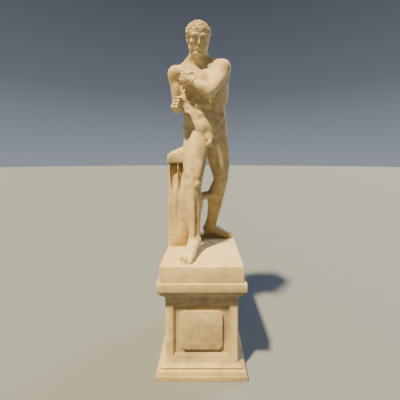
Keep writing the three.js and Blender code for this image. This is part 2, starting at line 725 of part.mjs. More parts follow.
function fromSolid(solid) {
  const { vertProperties, triVerts } = solid.getMesh();
  const geometry = new THREE.BufferGeometry();
  geometry.setAttribute("position", new THREE.BufferAttribute(vertProperties, 3));
  geometry.setIndex(new THREE.BufferAttribute(triVerts, 1));
  return geometry;
}

function boxBetween(x, y, low, high) {
  return new THREE.BoxGeometry(2 * x, 2 * y, high - low).translate(0, 0, (low + high) / 2);
}

// The figure, its stump, its strut and the slab under it are one stone
function statue() {
  const reach = Math.max(SLAB.x, SLAB.y) + 30;
  const grid = sampleGrid(figure(), V(-reach, -reach, SLAB.top - 80), V(reach, reach, 2620), GRID_STEP);
  fillPinches(grid);
  const carved = toGeometry(simplify(outerSkin(surfaceNets(grid)), FIGURE_TRIANGLES));
  const slab = boxBetween(SLAB.x, SLAB.y, CAP.top + JOINT_GAP, SLAB.top);
  const bodies = toSolid(slab).add(toSolid(carved)).decompose();
  return fromSolid(bodies.reduce((largest, body) => (body.volume() > largest.volume() ? body : largest)));
}

// A block with the same moulding on all four sides: its profile's rows are [level, inset]
function mouldedBlock({ x, y }, profile, corner = 0) {
  const loop = (inset) => {
    const [a, b] = [x - inset, y - inset];
    const [c, d] = [a - corner, b - corner];
    return corner ? [[c, -b], [a, -d], [a, d], [c, b], [-c, b], [-a, d], [-a, -d], [-c, -b]]
      : [[a, -b], [a, b], [-a, b], [-a, -b]];
  };
  const count = loop(0).length;
  const points = profile.flatMap(([level, inset]) => loop(inset).map(([px, py]) => V(px, py, level)));
  const faces = [];
  for (let row = 0; row < profile.length - 1; row++) {
    for (let i = 0; i < count; i++) {
      const [a, b] = [row * count + i, row * count + (i + 1) % count];
      faces.push([a, b, b + count], [a, b + count, a + count]);
    }
  }
  const top = points.length - count;
  for (let i = 1; i < count - 1; i++) faces.push([0, i + 1, i], [top, top + i, top + i + 1]);
  return toGeometry({ points, faces });
}

// Rows along a quarter round between two corners of a profile, hollow or full
function quarterRound([levelA, insetA], [levelB, insetB], hollow, steps = 6) {
  return Array.from({ length: steps + 1 }, (_, i) => {
    const angle = i / steps * Math.PI / 2;
    const along = hollow ? 1 - Math.cos(angle) : Math.sin(angle);
    const across = hollow ? Math.sin(angle) : 1 - Math.cos(angle);
    return [levelA + (levelB - levelA) * along, insetA + (insetB - insetA) * across];
  });
}

function pedestalBase() {
  const step = [[0, 0], [32, 0], [34, 5], [41, 6]];
  return mouldedBlock(BASE, [...step, ...quarterRound([42, 8], [60, 25], false), [BASE.top, 28]]);
}

function pedestalCap() {
  const { top, fascia, cove, coveInset, tierInset } = CAP;
  const tierTop = top - fascia - cove;
  return mouldedBlock(CAP, [
    [DIE.top + JOINT_GAP, tierInset], [tierTop, tierInset],
    ...quarterRound([tierTop, coveInset], [top - fascia, 3], true), [top - fascia, 0], [top, 0],
  ]);
}

// What is cut from one face of the die: a recess in two steps, with a clipped field left standing in it
function panelCutter(halfWidth, faceAt, turn) {
  const { margin, low, high, step, depth } = PANEL;
  const proud = 5;
  const middle = (low + high) / 2;
  const recess = (inset, deep) => {
    const box = new THREE.BoxGeometry(2 * (halfWidth - margin - inset), deep + proud, high - low - 2 * inset);
    return box.translate(0, -faceAt + (deep - proud) / 2, middle).rotateZ(turn);
  };
  const a = halfWidth - margin - FIELD.side;
  const b = (high - low) / 2 - FIELD.end;
  const [c, d] = [a - FIELD.clip, b - FIELD.clip];
  const outline = new THREE.Shape([[c, -b], [a, -d], [a, d], [c, b], [-c, b], [-a, d], [-a, -d], [-c, -b]]
    .map(([px, py]) => new THREE.Vector2(px, py)));
  const field = new THREE.ExtrudeGeometry(outline, { depth: 3 * depth, bevelEnabled: false })
    .rotateX(-Math.PI / 2).translate(0, -faceAt + FIELD.below, middle).rotateZ(turn);
  return toSolid(recess(0, depth)).add(toSolid(recess(step, 2 * depth))).subtract(toSolid(field));
}

function pedestalDie() {
  const { run, edge, rise } = FOOT_MOULDING;
  const low = BASE.top + JOINT_GAP;
  const body = mouldedBlock(DIE, [[low, -run], [low + edge, -run], [low + edge + rise, 0], [DIE.top, 0]], DIE.corner);
  let die = toSolid(body);
  for (const turn of [0, Math.PI]) die = die.subtract(panelCutter(DIE.x, DIE.y, turn));
  for (const turn of [Math.PI / 2, -Math.PI / 2]) die = die.subtract(panelCutter(DIE.y, DIE.x, turn));
  return fromSolid(die);
}

function piece(name, geometry) {
  const mesh = new THREE.Mesh(geometry, new THREE.MeshStandardMaterial({ ...STONE, flatShading: true }));
  mesh.name = name;
  return mesh;
}

const monument = new THREE.Group();
monument.add(
  piece("pedestal_base", pedestalBase()),
  piece("pedestal_die", pedestalDie()),
  piece("pedestal_cap", pedestalCap()),
  piece("athlete_statue", statue()),
);
export default monument;
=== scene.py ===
"""The visual model of a travertine athlete on its panelled pedestal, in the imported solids' frame."""
import math

import bmesh
import bpy
import numpy as np
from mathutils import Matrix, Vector


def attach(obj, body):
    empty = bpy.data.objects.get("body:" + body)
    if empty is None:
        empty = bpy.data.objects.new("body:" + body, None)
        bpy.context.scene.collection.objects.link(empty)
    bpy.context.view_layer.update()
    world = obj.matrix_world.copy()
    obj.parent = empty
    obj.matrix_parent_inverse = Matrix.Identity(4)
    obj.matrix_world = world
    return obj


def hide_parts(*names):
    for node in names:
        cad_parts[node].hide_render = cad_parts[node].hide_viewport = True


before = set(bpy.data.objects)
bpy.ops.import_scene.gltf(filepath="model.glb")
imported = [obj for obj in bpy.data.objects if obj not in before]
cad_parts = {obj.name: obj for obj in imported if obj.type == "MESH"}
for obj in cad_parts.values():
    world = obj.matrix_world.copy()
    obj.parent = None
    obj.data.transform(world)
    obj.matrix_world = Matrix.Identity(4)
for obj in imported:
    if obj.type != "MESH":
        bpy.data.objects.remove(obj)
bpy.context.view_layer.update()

MM = 0.001

# camera: level, at the photograph's viewing angle
LENS, SENSOR = 20.7, 36
SHIFT = (-0.01325, -0.10)
NEAREST = 0.05
EYE = (0.025, -1.8995, 1.453)

camera_data = bpy.data.cameras.new("camera")
camera_data.lens, camera_data.sensor_width = LENS, SENSOR
camera_data.shift_x, camera_data.shift_y = SHIFT
camera_data.clip_start = NEAREST
camera = bpy.data.objects.new("camera", camera_data)
camera.location = EYE
camera.rotation_euler = (math.radians(90), 0, 0)
bpy.context.scene.collection.objects.link(camera)
bpy.context.scene.camera = camera

# the stone's forms, in millimetres: x to the figure's left, y away from the camera, z up
UP = np.array([0.0, 0.0, 1.0])
SIDES = (-1, 1)
# A distance past all the forms, and a bound past every grid
FAR = 1000.0
EVERYWHERE = 1e4


def V(x, y, z):
    return np.array([x, y, z], float)


def unit(v):
    v = np.asarray(v, float)
    return v / np.linalg.norm(v)


def lerp(a, b, t):
    return a + (b - a) * t


def melt(a, b, width):
    """The smaller of two distances, rounded where they differ by less than the width."""
    near = np.maximum(width - np.abs(a - b), 0) / width
    return np.minimum(a, b) - near * near * width / 4


class Form:
    """A distance function with its reach. Over its blend's width it melts into the forms before it."""

    def __init__(self, distance, low, high, blend, carves=False):
        self.distance, self.blend, self.carves = distance, blend, carves
        self.low, self.high = np.asarray(low, float), np.asarray(high, float)


def carve(form):
    form.carves = True
    return form


def carved(forms):
    return [carve(form) for form in forms]


def length(v):
    return np.sqrt(np.einsum("...i,...i", v, v))


def spindle(a, b, radii, blend):
    """A capsule from a to b whose radius may swell or narrow at its middle."""
    ra, rb = radii[0], radii[-1]
    rm = radii[1] if len(radii) == 3 else (ra + rb) / 2
    c1, c2 = 4 * rm - 3 * ra - rb, 2 * ra + 2 * rb - 4 * rm
    along = b - a
    square = max(along @ along, 1e-9)
    most = max(ra, rm, rb)

    def distance(p):
        q = p - a
        t = np.clip(q @ along / square, 0, 1)
        return length(q - t[..., None] * along) - (ra + t * (c1 + t * c2))

    return Form(distance, np.minimum(a, b) - most, np.maximum(a, b) + most, blend)


def lump(centre, radii, blend, axes=None):
    """An ellipsoid; axes holds its three directions as rows."""
    r = np.asarray(radii, float)
    turn = np.eye(3) if axes is None else np.array(axes, float)

    def distance(p):
        q = (p - centre) @ turn.T / r
        k0 = length(q) + 1e-9
        return k0 * (k0 - 1) / (length(q / r) + 1e-9)

    reach = r if axes is None else r.max()
    return Form(distance, centre - reach, centre + reach, blend)


def block(centre, half, rounding, blend, axes=None):
    h = np.asarray(half, float) - rounding
    turn = np.eye(3) if axes is None else np.array(axes, float)

    def distance(p):
        q = np.abs((p - centre) @ turn.T) - h
        return length(np.maximum(q, 0)) + np.minimum(q.max(-1), 0) - rounding

    reach = np.asarray(half, float) if axes is None else np.linalg.norm(half)
    return Form(distance, centre - reach, centre + reach, blend)


def ring(centre, axis, radius, thick, blend, across=None):
    """A torus, or an upright band when across gives its half width."""
    wide = thick if across is None else across

    def distance(p):
        q = p - centre
        h = q @ axis
        away = length(q - h[..., None] * axis) - radius
        return (np.sqrt((away / thick) ** 2 + (h / wide) ** 2) - 1) * min(thick, wide)

    reach = radius + max(thick, wide)
    return Form(distance, centre - reach, centre + reach, blend)


def bend(a, middle, b, count=5):
    """Points on a smooth arc that leaves a and reaches b, pulled towards the middle."""
    return [a * (1 - t) ** 2 + middle * 2 * t * (1 - t) + b * t * t for t in np.linspace(0, 1, count)]


def strand(points, radii, blend):
    """A chain of spindles; the radii are spread along it."""
    sizes = np.interp(np.linspace(0, 1, len(points)), np.linspace(0, 1, len(radii)), radii)
    return [spindle(a, b, ends, blend) for a, b, ends in zip(points, points[1:], zip(sizes, sizes[1:]))]


def curl(spot, way, size, turn, blend=2):
    """A short lock wound like a snail's shell, lying on a surface that faces the way given."""
    first = unit(np.cross(way, V(math.sin(turn), 0.3, math.cos(turn))))
    second = np.cross(way, first)
    hand = 1 if math.sin(turn * 7.3) > -0.2 else -1
    points = []
    for t in np.linspace(0, 1, 6):
        angle, reach = hand * t * 5.6 + turn, size * lerp(0.86, 0.16, t)
        outward = first * math.cos(angle) + second * math.sin(angle)
        points.append(spot + outward * reach + way * size * 0.3 * t)
    return strand(points, (size * 0.22, size * 0.27, size * 0.22), blend)


def carve_above(point, normal, blend):
    """A flat cut that takes away what lies past the point, the way the normal goes."""
    n = unit(normal)
    level = point @ n
    return carve(Form(lambda p: level - p @ n, [-EVERYWHERE] * 3, [EVERYWHERE] * 3, blend))


def field_at(groups, p, low, high, margin):
    """The forms' distance at the points, counting those near the box from low to high.

    A group melts into the ones before it over its join, and its carves cut only the group. The carves of a
    group of join 0 cut all that comes before them.
    """
    total = np.full(p.shape[:-1], FAR)
    for join, forms in groups:
        own = None
        for form in forms:
            reach = margin + form.blend + join
            if (form.low - reach > high).any() or (form.high + reach < low).any():
                continue
            d = form.distance(p)
            if form.carves and join == 0:
                total = -melt(-total, d, form.blend)
            elif form.carves:
                if own is not None:
                    own = -melt(-own, d, form.blend)
            else:
                own = d if own is None else melt(own, d, form.blend)
        if own is not None:
            total = melt(total, own, join)
    return total


def grid_lines(low, high, step, fine):
    """Places from low to high, closer together inside the fine ranges."""
    lines = [low]
    while lines[-1] < high:
        steps = [s for a, b, s in fine if a <= lines[-1] < b]
        lines.append(lines[-1] + min(steps + [step]))
    return np.array(lines)


# A cube, or a part of one, is skipped beyond this share of its reach and so many millimetres more
CUBE_SKIP, PART_SKIP = (1.6, 12), (1.35, 6)
# Forms further than this from a cube, a part or a point are left out of its distance
CUBE_MARGIN, PART_MARGIN, POINT_MARGIN = 30, 14, 12


def sample(groups, lines, span=24, part=4):
    """Distances on the grid, in cubes of cells cut into parts. What is skipped takes its middle's."""
    field = np.full([len(axis) for axis in lines], FAR, np.float32)
    forms = [(g, form) for g, (_, members) in enumerate(groups) for form in members]
    widths = np.array([form.blend + groups[g][0] for g, form in forms])[:, None]
    lows = np.array([form.low for _, form in forms]) - widths
    highs = np.array([form.high for _, form in forms]) + widths
    for i in range(0, len(lines[0]), span):
        for j in range(0, len(lines[1]), span):
            for k in range(0, len(lines[2]), span):
                cube = [axis[s:s + span] for axis, s in zip(lines, (i, j, k))]
                low, high = (np.array([axis[end] for axis in cube]) for end in (0, -1))
                middle = (low + high) / 2
                radius = np.linalg.norm(high - low) / 2
                margin = radius * 2 + CUBE_MARGIN
                near = [[] for _ in groups]
                for n in np.flatnonzero(((lows - margin <= high) & (highs + margin >= low)).all(1)):
                    near[forms[n][0]].append(forms[n][1])
                nearby = [(join, members) for (join, _), members in zip(groups, near) if members]
                guess = field_at(nearby, middle[None], middle, middle, margin)[0]
                if abs(guess) > radius * CUBE_SKIP[0] + CUBE_SKIP[1]:
                    field[i:i + span, j:j + span, k:k + span] = guess
                    continue
                starts = [np.arange(0, len(axis), part) for axis in cube]
                ends = [np.minimum(start + part - 1, len(axis) - 1) for start, axis in zip(starts, cube)]
                middles = [(axis[a] + axis[b]) / 2 for axis, a, b in zip(cube, starts, ends)]
                halves = [(axis[b] - axis[a]) / 2 for axis, a, b in zip(cube, starts, ends)]
                places = np.stack(np.meshgrid(*middles, indexing="ij"), -1)
                guesses = field_at(nearby, places, low, high, PART_MARGIN)
                reach = length(np.stack(np.meshgrid(*halves, indexing="ij"), -1))
                near_part = np.abs(guesses) < reach * PART_SKIP[0] + PART_SKIP[1]
                owner = np.ix_(*(np.arange(len(axis)) // part for axis in cube))
                value = guesses[owner].astype(np.float32)
                wanted = near_part[owner]
                spots = np.argwhere(wanted)
                if len(spots):
                    points = np.stack([axis[spots[:, d]] for d, axis in enumerate(cube)], 1)
                    value[wanted] = field_at(nearby, points, low, high, POINT_MARGIN)
                field[i:i + span, j:j + span, k:k + span] = value
    return field


def surface(field, lines):
    """Surface nets: a point in each cell and a quad for each grid edge that the surface crosses."""
    inside = field < 0
    corners = [(a, b, c) for a in (0, 1) for b in (0, 1) for c in (0, 1)]
    counts = sum(inside[tuple(slice(o, n - 1 + o) for o, n in zip(corner, inside.shape))].astype(np.int8)
                 for corner in corners)
    cells = np.argwhere((counts > 0) & (counts < 8))
    point_of = np.full(counts.shape, -1, np.int32)
    point_of[tuple(cells.T)] = np.arange(len(cells))
    values = {c: field[tuple(cells.T + np.array(c)[:, None])].astype(float) for c in corners}
    place = {c: np.stack([lines[d][cells[:, d] + c[d]] for d in range(3)], 1) for c in corners}
    total, crossed = np.zeros((len(cells), 3)), np.zeros(len(cells))
    for c in corners:
        for d in range(3):
            if c[d]:
                continue
            other = tuple(1 if e == d else c[e] for e in range(3))
            here, there = values[c], values[other]
            cut = (here < 0) != (there < 0)
            share = np.where(cut, here / np.where(cut, here - there, 1), 0)[:, None]
            total += np.where(cut[:, None], place[c] + share * (place[other] - place[c]), 0)
            crossed += cut
    quads = []
    for d in range(3):
        u, w = (d + 1) % 3, (d + 2) % 3
        first, second = [slice(None)] * 3, [slice(None)] * 3
        first[d], second[d] = slice(0, -1), slice(1, None)
        for ends in (first, second):
            ends[u] = ends[w] = slice(1, -1)
        before, after = inside[tuple(first)], inside[tuple(second)]
        edges = np.argwhere(before != after)
        outward = before[tuple(edges.T)]
        edges[:, [u, w]] += 1
        ring_of_cells = []
        for du, dw in ((-1, -1), (0, -1), (0, 0), (-1, 0)):
            cell = edges.copy()
            cell[:, u] += du
            cell[:, w] += dw
            ring_of_cells.append(point_of[tuple(cell.T)])
        quad = np.stack(ring_of_cells, 1)
        quads.append(np.where(outward[:, None], quad, quad[:, ::-1]))
    return total / crossed[:, None], np.concatenate(quads)


# the figure: the slab's half sides and levels, then the joints and the ways the parts face
SLAB = dict(x=283, y=367.5, top=740, low=633.3)
PELVIS = dict(z=1700, x=30, y=58, turn=math.radians(13))
CHEST = dict(z=2060, x=6, y=42, turn=math.radians(-16))
HEAD = V(-34, -48, 2423)
HEAD_POSE = dict(down=math.radians(20), aside=math.radians(7), size=1.03)
RIGHT = dict(
    side=1, hip=V(-52, 38, 1672), knee=V(-68, -88, 1272), ankle=V(-62, -90, 832), toe=V(-120, -322, 740),
    knee_facing=V(-0.3, -1, 0), shin_facing=V(-0.42, -1, 0),
    shoulder=V(-226, 82, 2196), elbow=V(-220, 148, 1912), wrist=V(-193, -40, 1895),
    fist=V(-185, -105, 1891), back_of_hand=V(-1, 0, 0.25), hand_size=1.15)
LEFT = dict(
    side=-1, hip=V(122, 78, 1676), knee=V(166, 146, 1290), ankle=V(80, 284, 850), toe=V(274, 254, 740),
    knee_facing=V(0.75, -0.65, 0), shin_facing=V(1, -0.25, 0),
    shoulder=V(168, -32, 2196), elbow=V(59, -174, 1959), wrist=V(-72, -116, 2070),
    fist=V(-126, -84, 2108), back_of_hand=V(-0.2, -1, -0.3), hand_size=1.08)
STUMP = dict(x=-172, y=95, half_x=112, half_y=95, flutes_top=1425, head_top=1620, proud=6)
STUMP_CUT = dict(at=V(-289, 0, 1490), normal=V(-0.42, -0.2, 1))
STRUT = dict(start=V(-50, 0, 1141), end=V(120, 215, 1150), radius=35)


class Limb:
    """Places on a limb: t from joint to joint, f towards its front, s away from the body's middle."""

    def __init__(self, start, end, facing, side):
        self.start, self.along = start, end - start
        self.axis = unit(self.along)
        self.front = unit(facing - facing @ self.axis * self.axis)
        self.out = np.cross(self.axis, self.front) * side

    def at(self, t, f, s):
        return self.start + self.along * t + self.front * f + self.out * s


# Muscles: where each starts and ends on its limb, its radii and its blend
THIGH = [
    [(0, 0, 0), (1, 0, 0), (92, 86, 56), 20],
    [(0.02, 38, -4), (0.86, 32, 0), (46, 60, 34), 26],
    [(0.1, 8, 46), (0.9, 14, 30), (46, 58, 32), 24],
    [(0.5, 22, -34), (0.9, 32, -38), (36, 46, 30), 10],
    [(0.12, 34, 22), (0.84, 40, 8), (26, 34, 16), 10],
    [(0, -8, -46), (0.68, -14, -32), (50, 62, 34), 28],
    [(0.1, -44, 14), (0.97, -24, 28), (48, 54, 22), 26],
    [(0.1, -44, -18), (0.99, -22, -28), (46, 52, 22), 26],
]
SHIN = [
    [(0, -8, 0), (0.95, -6, 0), (56, 52, 42), 22],
    [(0.16, -34, -10), (0.6, -38, -8), (30, 52, 20), 16],
    [(0.06, -32, 16), (0.48, -32, 22), (28, 50, 26), 16],
    [(0.3, -28, 0), (0.8, -28, 4), (50, 40, 20), 18],
    [(0.7, -28, 2), (1.14, -46, 0), (20, 15, 24), 14],
    [(0.04, 32, -6), (0.94, 24, -6), (27, 30, 25), 8],
    [(0.08, 14, 24), (0.8, 12, 12), (28, 38, 24), 16],
]
THIGH_GROOVE = [(0.2, 72, -30), (0.45, 64, -22), (0.7, 68, -14)]
SHIN_GROOVE = [(0.14, 46, -50), (0.4, 30, -41), (0.66, 25, -34), (0.92, 30, -28)]
UPPER_ARM = [
    [(0, 0, 0), (1, 0, 0), (52, 50, 40), 16],
    [(0.2, 22, -2), (0.84, 24, -2), (32, 46, 26), 12],
    [(0.1, -22, 6), (0.8, -22, 4), (38, 44, 26), 14],
    [(0, 8, 16), (0.44, 2, 18), (52, 46, 20), 18],
]
FOREARM = [
    [(0, 0, 0), (1, 0, 0), (42, 42, 31), 14],
    [(0.02, 8, 16), (0.62, 4, 12), (36, 44, 22), 12],
    [(0.05, -4, -18), (0.6, -2, -10), (34, 40, 22), 12],
]
# Toes: distance out from the foot's middle, radius, and how far each falls short of the foot's length
TOES = [(-35, 17, -6), (-10.5, 10.5, -3), (8.5, 10, 5), (26, 9.5, 15), (42, 9.5, 28)]


def muscles(place, rows):
    return [spindle(place.at(*start), place.at(*end), radii, blend) for start, end, radii, blend in rows]


# How far the soles reach into the slab
SOLE_SUNK = 5


def foot_places(limbs):
    """Places in a foot from below the ankle: forward, out and up. Its axes and its length come along."""
    reach = (limbs["toe"] - limbs["ankle"]) * (1, 1, 0)
    forward = unit(reach)
    out = np.cross(forward, UP) * limbs["side"]
    heel = limbs["ankle"] * (1, 1, 0) + V(0, 0, SLAB["top"] - SOLE_SUNK)

    def at(l, s, h):
        return heel + forward * l + out * s + UP * h

    return at, [forward, out, UP], np.linalg.norm(reach)


def foot(limbs):
    at, axes, size = foot_places(limbs)
    forward, out, _ = axes
    ball = size - 52
    forms = [
        spindle(at(0, 0, 110), at(4, 0, 62), (40, 44), 14),
        lump(at(-36, -2, 34), (38, 36, 38), 14, axes),
        lump(at(4, -42, 98), (19, 14, 22), 14, axes),
        lump(at(-6, 38, 84), (17, 13, 22), 14, axes),
        spindle(at(-24, 0, 0), at(ball - 26, 2, 0), (30, 42), 16),
        spindle(at(-10, 8, 28), at(ball * 0.86, 32, 16), (32, 26), 16),
        spindle(at(12, -10, 74), at(ball - 14, -26, 30), (42, 27), 18),
        spindle(at(12, 8, 66), at(ball - 12, 18, 26), (38, 24), 18),
        lump(at(ball - 14, -4, 20), (30, 55, 24), 14, axes),
    ]
    for s, r, short in TOES:
        tip = size - short - r
        knuckle = at((ball + tip + r) / 2, s, r + 11)
        forms += [
            spindle(at(ball * 0.45, s * 0.45, 90), at(ball - 4, s, 52 - abs(s + 20) * 0.28), (4, 5), 6),
            spindle(at(ball - 14, s, 30), knuckle, (r + 3, r), 3),
            spindle(knuckle, at(tip, s, r), (r * 0.92, r), 2),
            spindle(at(ball - 10, s, 5), at(tip, s, 5), (r, r * 0.9), 2),
        ]
        nail = at(tip + r * 0.35, s, r * 1.78)
        tilt = [unit(forward - UP * 0.5), out, unit(UP + forward * 0.5)]
        forms += [
            lump(nail, (r * 0.62, r * 0.6, r * 0.2), 1.5, tilt),
            carve(ring(nail - forward * r * 0.1, tilt[2], r * 0.66, 1.3, 1)),
        ]
    return forms


def leg(limbs):
    side = limbs["side"]
    thigh = Limb(limbs["hip"], limbs["knee"], limbs["knee_facing"], side)
    shin = Limb(limbs["knee"], limbs["ankle"], limbs["shin_facing"], side)
    axes = [thigh.out, thigh.front, thigh.axis]
    knee = [
        lump(thigh.at(1, 6, 0), (62, 50, 54), 18, axes),
        lump(thigh.at(0.99, 52, 0), (25, 15, 30), 4, axes),
        lump(thigh.at(1.02, 8, -48), (20, 30, 26), 10, axes),
        lump(thigh.at(1.01, 6, 40), (20, 28, 26), 12, axes),
        lump(shin.at(0.14, 46, -4), (15, 13, 22), 8, axes),
        lump(thigh.at(0.9, 46, -28), (20, 16, 30), 8, axes),
        lump(thigh.at(0.86, 48, 26), (20, 14, 26), 8, axes),
        lump(shin.at(0.04, 34, -40), (11, 13, 15), 5, axes),
        carve(lump(thigh.at(0.99, 61, -34), (9, 15, 26), 18, axes)),
        carve(lump(thigh.at(0.99, 59, 35), (9, 14, 26), 18, axes)),
        *carved(strand([shin.at(*place) for place in SHIN_GROOVE], (3, 6, 6, 3), 18)),
        *carved(strand([thigh.at(*place) for place in THIGH_GROOVE], (4, 6, 4), 24)),
    ]
    return 12, [*muscles(thigh, THIGH), *muscles(shin, SHIN), *knee, *foot(limbs)]


def trunk_axes(z):
    rise = min(1, max(0, (z - PELVIS["z"]) / (CHEST["z"] - PELVIS["z"])))
    turn = lerp(PELVIS["turn"], CHEST["turn"], rise * rise * (3 - 2 * rise))
    return [V(math.cos(turn), math.sin(turn), 0), V(math.sin(turn), -math.cos(turn), 0), UP]


def trunk(z, l, f):
    """Places on the trunk, which twists and leans: level z, l to the figure's left, f forward."""
    rise = (z - PELVIS["z"]) / (CHEST["z"] - PELVIS["z"])
    left, front, _ = trunk_axes(z)
    x, y = (lerp(PELVIS[k], CHEST[k], rise) for k in ("x", "y"))
    return V(x, y, z) + left * l + front * f


def mass(z, l, f, radii, blend):
    return lump(trunk(z, l, f), radii, blend, trunk_axes(z))


def on_head(x, y, z):
    return HEAD + V(x, y, z)


def grooved(places, radii, blend):
    """A groove along places on the trunk, each given as level, left and forward."""
    return carved(strand([trunk(*place) for place in places], radii, blend))


def posed_head(forms):
    """Forms made for a level head, turned as the head looks down and a little to its left."""
    down, aside, size = (HEAD_POSE[k] for k in ("down", "aside", "size"))
    c, s = math.cos(down), math.sin(down)
    nod = np.array([[1, 0, 0], [0, c, -s], [0, s, c]])
    c, s = math.cos(aside), math.sin(aside)
    swing = np.array([[c, -s, 0], [s, c, 0], [0, 0, 1]])
    turn, pivot = swing @ nod, on_head(0, 14, 8)

    def moved(form):
        middle = pivot + turn @ ((form.low + form.high) / 2 - pivot) * size
        half = np.abs(turn) @ ((form.high - form.low) / 2) * size

        def distance(p):
            return form.distance((p - pivot) @ turn / size + pivot) * size

        return Form(distance, middle - half, middle + half, form.blend, form.carves)

    return [moved(form) for form in forms]


def torso():
    forms = [
        mass(1700, 0, -4, (180, 110, 122), 20),
        mass(1870, 0, 0, (172, 106, 160), 50),
        mass(2050, 0, -4, (184, 122, 184), 50),
        mass(2176, 0, -14, (200, 98, 98), 40),
        mass(1745, 0, 46, (124, 68, 100), 40),
        mass(1636, 0, 84, (46, 34, 42), 20),
        mass(1574, 4, -6, (34, 52, 58), 34),
    ]
    for s in SIDES:
        neck_side = on_head(s * 34, 54, -128 - s * 4)
        forms += [
            mass(1632, s * 84, -78, (92, 76, 98), 24),
            mass(1722, s * 130, -12, (60, 78, 88), 26),
            mass(1806, s * 128, 14, (48, 74, 68), 28),
            mass(1960, s * 124, 30, (48, 60, 112), 30),
            mass(2118, s * 86, 80, (92, 44, 66), 14),
            mass(2200, s * 96, 40, (92, 48, 52), 28),
            mass(2040, s * 156, -40, (54, 70, 150), 28),
            mass(2120, s * 90, -86, (82, 46, 96), 16),
            spindle(trunk(2172, s * 40, -116), trunk(2206, s * 166, -80), (9, 12), 12),
            mass(2170, s * 168, -44, (62, 46, 72), 34),
            spindle(trunk(1700, s * 36, -88), trunk(2010, s * 38, -84), (32, 28, 30), 20),
            spindle(trunk(2228 - s * 10, s * 168, -4), neck_side, (36, 40, 36), 40),
            spindle(trunk(2214, s * 120, -58), neck_side, (36, 38, 34), 40),
            spindle(trunk(2246, s * 26, 70), trunk(2262, s * 176, 8), (12, 12), 12),
            mass(1972, s * 78, 68, (70, 40, 56), 22),
            mass(1972, s * 37, 98, (34, 20, 36), 9),
            mass(1896, s * 38, 97, (36, 20, 36), 9),
            mass(1822, s * 38, 98, (36, 20, 38), 9),
            mass(1742, s * 30, 103, (36, 19, 56), 12),
            *grooved([(1996, s * 84, 113), (1880, s * 84, 103), (1764, s * 70, 108)], (6, 7, 5), 16),
            *grooved([(2068, s * 14, 119), (2050, s * 84, 118), (2076, s * 150, 92)], (5, 6, 4), 10),
            *grooved([(1796, s * 160, 78), (1742, s * 124, 89), (1694, s * 84, 106), (1654, s * 46, 109)],
                     (6, 7, 5), 10),
            *strand([trunk(1984, s * 40, 104), trunk(1936, s * 84, 100), trunk(1904, s * 116, 80)],
                    (8, 9, 3), 22),
            lump(trunk(2098, s * 96, 122), (6, 6, 6), 5),
            carve(ring(trunk(2098, s * 96, 121), trunk_axes(2098)[1], 11, 1.6, 3)),
        ]
        for rib in range(4):
            start = trunk(2040 - 44 * rib, s * (156 - 4 * rib), 38)
            forms.append(spindle(start, trunk(2012 - 44 * rib, s * (126 - 3 * rib), 80), (8, 11, 3), 26))
    forms += [
        carve(spindle(trunk(1740, 0, -132), trunk(2180, 0, -142), (10, 11), 22)),
        carve(spindle(trunk(2080, 0, 140), trunk(2200, 0, 120), (7, 8), 12)),
        *grooved([(1830, 0, 116), (1996, 0, 115)], (5, 6), 12),
        *grooved([(1942, -66, 112), (1934, 0, 118), (1942, 66, 112)], (4, 4), 10),
        *grooved([(1866, -66, 112), (1858, 0, 118), (1866, 66, 112)], (4, 4), 10),
        carve(lump(trunk(1796, 0, 122), (8, 13, 10), 8)),
        lump(trunk(1798, 0, 110), (4, 4, 5), 4),
        mass(1600, 2, 112, (17, 20, 30), 6),
        mass(1582, -12, 98, (17, 18, 24), 6),
        mass(1580, 14, 98, (17, 18, 24), 6),
    ]
    return 30, forms


def cuts():
    """What is cut through all the forms: the groin's creases, the strap's edges, the gaps between toes."""
    right = [V(-112, -40, 1728), V(-104, -44, 1722), V(-79, -52, 1709), V(-54, -60, 1693),
             V(-30, -61, 1676), V(-6, -57, 1656), V(16, -52, 1638)]
    left = [V(76, -48, 1640), V(104, -30, 1670), V(128, -20, 1700)]
    forms = strand(right, (3, 9, 9, 8), 3) + strand(left, (3, 7, 3), 5)
    fore = Limb(LEFT["elbow"], LEFT["wrist"], LEFT["shoulder"] - LEFT["elbow"], LEFT["side"])
    middle, lean = strap_place(fore)
    forms += [ring(middle + lean * across, lean, 47, 14, 1.5, 4.2) for across in (-13, 12)]
    for limbs in (RIGHT, LEFT):
        at, axes, size = foot_places(limbs)
        for (s, r, _), (s2, r2, short) in zip(TOES, TOES[1:]):
            between = (s + r + s2 - r2) / 2
            forms.append(lump(at(size - 15 - short * 0.7, between, 19), (21, 3.8, 18), 3, axes))
    return 0, carved(forms)


def pubic_curls():
    forms = []
    for z, count, wide in ((1663, 5, 36), (1648, 4, 26), (1634, 3, 16)):
        for i in range(count):
            l = lerp(-wide, wide, i / (count - 1))
            spot = trunk(z + abs(l) * 0.18, l, 113 - abs(l) * 0.22)
            forms += curl(spot, trunk_axes(z)[1], 8.5, i * 2.1 + z)
    return 3, forms


